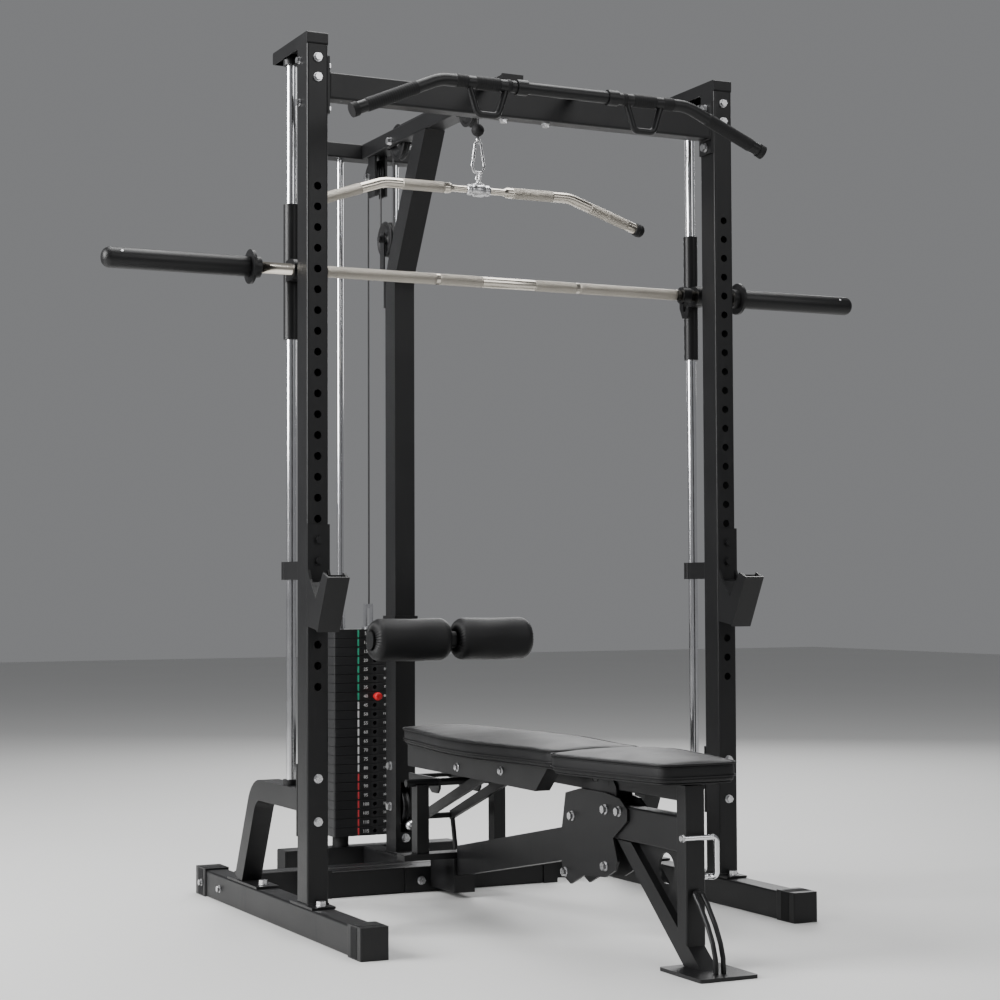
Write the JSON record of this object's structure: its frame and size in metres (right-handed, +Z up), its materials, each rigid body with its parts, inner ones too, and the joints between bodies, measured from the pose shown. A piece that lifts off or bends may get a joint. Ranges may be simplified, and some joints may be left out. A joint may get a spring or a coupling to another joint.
{
  "type": "lat pulldown machine",
  "caption": "Lat pulldown rack with selector weight stack, guided bar on chrome rods, pull-up bar, knee rollers, bar catches and a padded bench.",
  "frame": {"origin": "on the floor, at the centre of the footprint's bounding box", "axes": "+X to the user's right seen from the bench's front end, +Y from the bench towards the weight stack, +Z up"},
  "size_m": [2.13, 2.033, 2.165],
  "materials": {
    "frame_paint": "satin black powder coat, fine texture",
    "hardware_zinc": "bright zinc plating",
    "chrome_rod": "polished hard chrome",
    "grip_chrome": "chrome, knurled where it is held",
    "sleeve_paint": "semi-gloss black enamel",
    "plastic_black": "moulded black plastic, slightly worn",
    "rubber_black": "matte black rubber",
    "cable_jacket": "black nylon jacket",
    "plate_iron": "black machined iron, satin paint",
    "knob_red": "glossy red",
    "pad_vinyl": "black upholstery vinyl, fine grain",
    "roller_vinyl": "black vinyl over foam, pleated ends"
  },
  "bodies": {
    "rack": {"base_rails": "frame_paint", "base_caps": "frame_paint", "uprights": "frame_paint", "weld_plates": "frame_paint", "top_arms": "frame_paint", "top_crossmember": "frame_paint", "braces": "frame_paint", "rear_crossmember": "frame_paint", "stack_foot": "frame_paint", "column": "frame_paint", "top_beam": "frame_paint", "stack_guide_rods": "chrome_rod", "bumpers_and_plugs": "rubber_black", "bar_guide_rods": "chrome_rod", "rod_fittings": "frame_paint", "pull_up_bar": "frame_paint", "pull_up_arms": "frame_paint", "hanging_bracket": "frame_paint", "rack_bolts": "hardware_zinc", "cable_fixed": "cable_jacket", "plates_resting": "plate_iron", "cable_strands": "cable_jacket"},
    "stack": {"plates_lifted": "plate_iron", "selector_rod": "chrome_rod", "cable_stack_drop": "cable_jacket"},
    "pin": {"selector_pin": "knob_red"},
    "lat_hanger": {"cable_stop": "rubber_black", "snap_link": "hardware_zinc", "cable_front_drop": "cable_jacket"},
    "lat_handle": {"lat_bar": "grip_chrome", "lat_bar_caps": "rubber_black"},
    "wheel_front": {"pulley_front": "plastic_black"},
    "wheel_rear": {"pulley_rear": "plastic_black"},
    "wheel_hanging": {"pulley_hanging": "plastic_black"},
    "wheel_low": {"pulley_low": "plastic_black"},
    "wheel_floating": {"pulley_floating": "plastic_black"},
    "floating": {"floating_bracket": "frame_paint", "cable_loop": "cable_jacket", "cable_low_drop": "cable_jacket"},
    "low_row_ring": {"low_ring": "hardware_zinc"},
    "knee_arm": {"roller_frame": "frame_paint"},
    "knee_roller_left": {"roller_left": "roller_vinyl"},
    "knee_roller_right": {"roller_right": "roller_vinyl"},
    "bar_catch_left": {"catch_left": "frame_paint"},
    "bar_catch_right": {"catch_right": "frame_paint"},
    "bar_carriages": {"carriages": "frame_paint"},
    "guided_bar": {"guided_shaft": "grip_chrome", "bar_sleeves": "sleeve_paint", "bar_fittings": "frame_paint"},
    "bench": {"bench_rear_foot": "frame_paint", "bench_beams": "frame_paint", "bench_side_plates": "frame_paint", "bench_front_leg": "frame_paint", "bench_handles": "chrome_rod", "bench_back_support": "frame_paint", "bench_bolts": "hardware_zinc"},
    "backrest": {"back_frame": "frame_paint", "back_pad": "pad_vinyl"},
    "seat": {"seat_frame": "frame_paint", "seat_pad": "pad_vinyl"}
  },
  "joints": [
    {"name": "stack_lift", "type": "slide", "parent": "rack", "child": "stack", "axis": [0, 0, 1], "range_m": [0, 0.8], "deforming": ["cable_stack_drop"]},
    {"name": "lat_pull", "type": "slide", "parent": "rack", "child": "lat_hanger", "axis": [0, 0, -1], "range_m": [0, 0.8], "deforming": ["cable_front_drop"]},
    {"name": "lat_swivel", "type": "hinge", "parent": "lat_hanger", "child": "lat_handle", "pos_m": [0, 0.1985, 1.9], "axis": [0, 0, 1], "range_deg": [-75, 75]},
    {"name": "pin_pull", "type": "slide", "parent": "stack", "child": "pin", "axis": [0, -1, 0], "range_m": [0, 0.12]},
    {"name": "front_wheel_spin", "type": "hinge", "parent": "rack", "child": "wheel_front", "pos_m": [0, 0.2465, 2.11], "axis": [1, 0, 0], "continuous": true},
    {"name": "rear_wheel_spin", "type": "hinge", "parent": "rack", "child": "wheel_rear", "pos_m": [0, 0.7215, 2.11], "axis": [1, 0, 0], "continuous": true},
    {"name": "hanging_wheel_spin", "type": "hinge", "parent": "rack", "child": "wheel_hanging", "pos_m": [0, 0.9135, 2.04], "axis": [1, 0, 0], "continuous": true},
    {"name": "low_wheel_spin", "type": "hinge", "parent": "rack", "child": "wheel_low", "pos_m": [0, 0.7295, 0.205], "axis": [1, 0, 0], "continuous": true},
    {"name": "float_drop", "type": "slide", "parent": "rack", "child": "floating", "axis": [0, 0, -1], "range_m": [0, 0.28], "deforming": ["cable_strands", "cable_low_drop"]},
    {"name": "floating_wheel_spin", "type": "hinge", "parent": "floating", "child": "wheel_floating", "pos_m": [0, 0.8175, 1.842], "axis": [1, 0, 0], "continuous": true},
    {"name": "low_pull", "type": "slide", "parent": "rack", "child": "low_row_ring", "axis": [0, -1, 0], "range_m": [0, 0.28]},
    {"name": "knee_height", "type": "slide", "parent": "rack", "child": "knee_arm", "axis": [0, 0, 1], "range_m": [-0.15, 0.25]},
    {"name": "knee_spin_left", "type": "hinge", "parent": "knee_arm", "child": "knee_roller_left", "pos_m": [0, 0.3815, 0.686], "axis": [1, 0, 0], "continuous": true},
    {"name": "knee_spin_right", "type": "hinge", "parent": "knee_arm", "child": "knee_roller_right", "pos_m": [0, 0.3815, 0.686], "axis": [1, 0, 0], "continuous": true},
    {"name": "catch_left_out", "type": "slide", "parent": "rack", "child": "bar_catch_left", "axis": [0, -1, 0], "range_m": [0, 0.15]},
    {"name": "catch_right_out", "type": "slide", "parent": "rack", "child": "bar_catch_right", "axis": [0, -1, 0], "range_m": [0, 0.15]},
    {"name": "bar_travel", "type": "slide", "parent": "rack", "child": "bar_carriages", "axis": [0, 0, 1], "range_m": [-0.54, 0.33]},
    {"name": "bar_turn", "type": "hinge", "parent": "bar_carriages", "child": "guided_bar", "pos_m": [0, 0.0215, 1.606], "axis": [1, 0, 0], "range_deg": [-45, 45]},
    {"name": "bench_out", "type": "slide", "parent": "rack", "child": "bench", "axis": [0, -1, 0], "range_m": [0, 0.5]},
    {"name": "backrest_tilt", "type": "hinge", "parent": "bench", "child": "backrest", "pos_m": [0, -0.4285, 0.385], "axis": [1, 0, 0], "range_deg": [0, 10]},
    {"name": "seat_tilt", "type": "hinge", "parent": "bench", "child": "seat", "pos_m": [0, -0.5325, 0.374], "axis": [-1, 0, 0], "range_deg": [0, 20]}
  ],
  "couplings": [
    {"joint": "lat_pull", "follows": "stack_lift", "ratio": 1},
    {"joint": "front_wheel_spin", "follows": "stack_lift", "rad_per_m": 20.833},
    {"joint": "rear_wheel_spin", "follows": "stack_lift", "rad_per_m": 20.833},
    {"joint": "hanging_wheel_spin", "follows": "stack_lift", "rad_per_m": 20.833},
    {"joint": "floating_wheel_spin", "follows": "stack_lift", "rad_per_m": -20.833},
    {"joint": "low_pull", "follows": "float_drop", "ratio": 1},
    {"joint": "low_wheel_spin", "follows": "float_drop", "rad_per_m": -20.833}
  ]
}
